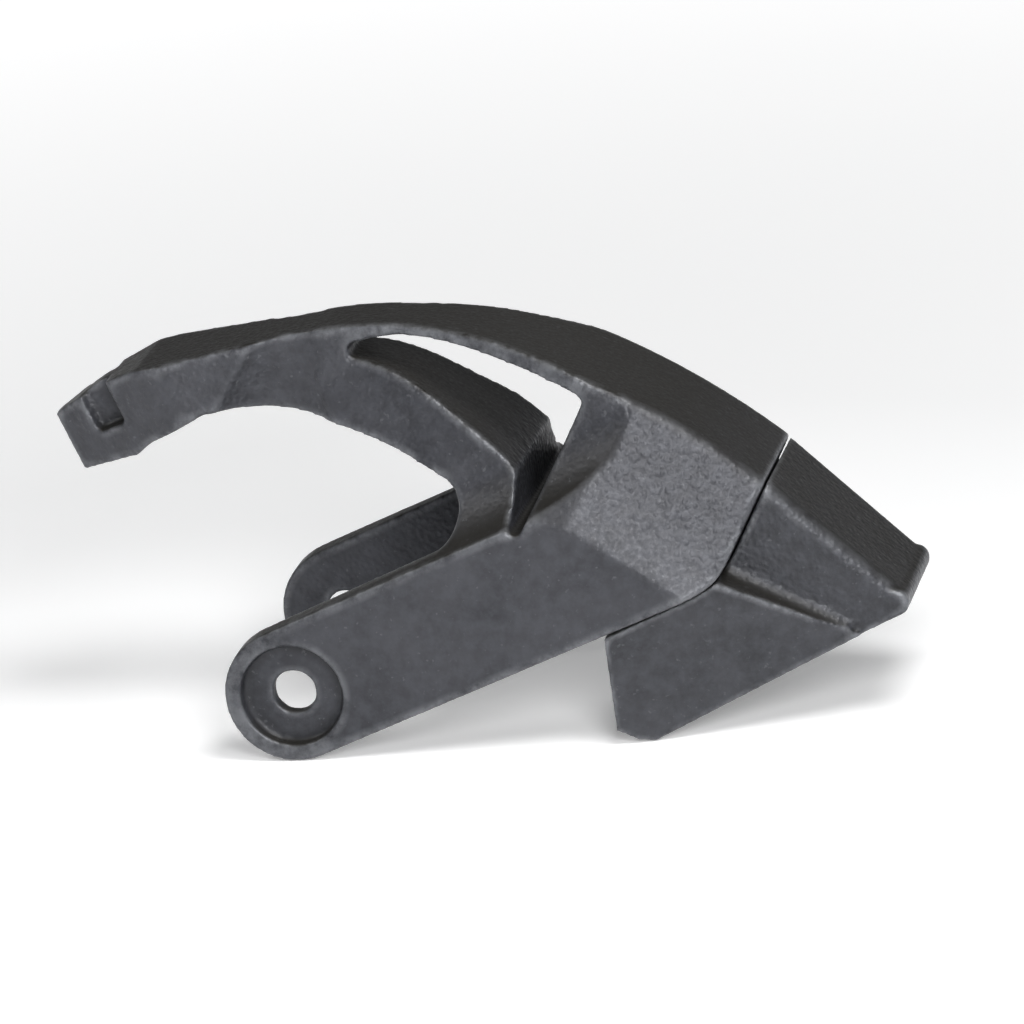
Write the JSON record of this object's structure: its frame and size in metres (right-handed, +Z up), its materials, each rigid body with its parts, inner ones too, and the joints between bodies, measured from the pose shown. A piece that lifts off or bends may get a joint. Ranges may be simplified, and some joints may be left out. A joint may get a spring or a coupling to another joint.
{
  "type": "excavator bucket tooth",
  "caption": "Cast holder that hooks round a bucket lip, with two bored ears, a windowed arm and a foot, carrying a slide-on chisel wear cap held by a rubber lock.",
  "frame": {"origin": "centre of the ear bore, midway between the two ears", "axes": "+Z up with the part standing on its ear ends and wing corners, +X forward towards the cutting edge, +Y along the ear bore"},
  "size_m": [0.5017, 0.168, 0.2439],
  "materials": {
    "holder_cast_steel": "as-cast, dark scale",
    "cap_cast_steel": "as-cast, dark scale",
    "lock_steel": "zinc grey",
    "lock_rubber": "matte black"
  },
  "bodies": {
    "holder": {"tooth_holder": "holder_cast_steel", "lock_plate": "lock_steel", "lock_rubber": "lock_rubber"},
    "cap": {"wear_cap": "cap_cast_steel"}
  },
  "joints": [
    {"name": "cap_slide", "type": "slide", "parent": "holder", "child": "cap", "axis": [0.8748, 0, -0.4844], "range_m": [0, 0.09], "deforming": ["lock_rubber"]}
  ]
}
